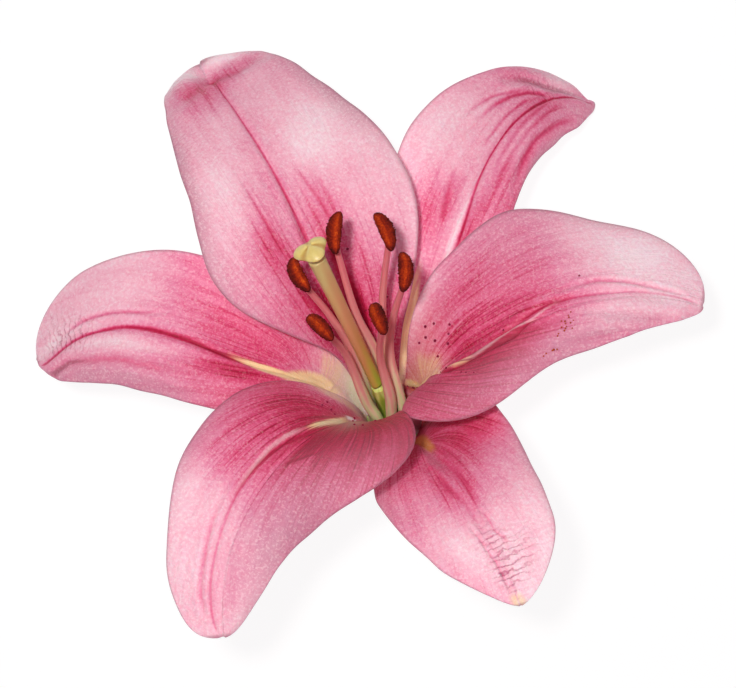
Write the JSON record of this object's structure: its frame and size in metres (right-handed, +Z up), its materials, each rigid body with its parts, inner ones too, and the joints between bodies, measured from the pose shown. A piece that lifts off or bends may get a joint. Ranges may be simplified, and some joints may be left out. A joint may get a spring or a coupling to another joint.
{
  "type": "cut lily flower",
  "caption": "Open lily bloom on a short cut stalk, lying face up: waved, recurved tepals in two whorls round long stamens and a pistil.",
  "frame": {"origin": "middle of the box on the surface that the flower lies on", "axes": "+Z up from that surface; +X towards the tip of the broad tepal on the right; +Y towards the two resting tips, the way the bloom's axis leans"},
  "size_m": [0.168, 0.148, 0.0856],
  "materials": {
    "inner_tepal": "fresh satin petal, pink with a deeper middle and a pale margin",
    "outer_tepal": "fresh satin petal, pink with a deeper middle and a pale margin",
    "stalk": "smooth green plant stem",
    "filament": "smooth pale pink stalk, greenish at its foot",
    "anther": "powdery rust red pollen with a dark brown edge",
    "ovary": "smooth bright green, grooved along",
    "style": "smooth, pinkish brown on green",
    "stigma": "moist cream yellow"
  },
  "bodies": {
    "root": {"flower_stalk": "stalk", "inner_tepal_upper_left": "inner_tepal", "inner_tepal_right": "inner_tepal", "inner_tepal_lower_left": "inner_tepal", "outer_tepal_upper_right": "outer_tepal", "outer_tepal_lower_right": "outer_tepal", "outer_tepal_left": "outer_tepal", "filament_1": "filament", "anther_1": "anther", "filament_2": "filament", "anther_2": "anther", "filament_3": "filament", "anther_3": "anther", "filament_4": "filament", "anther_4": "anther", "filament_5": "filament", "anther_5": "anther", "filament_6": "filament", "anther_6": "anther", "ovary": "ovary", "style": "style", "stigma": "stigma"}
  },
  "joints": []
}
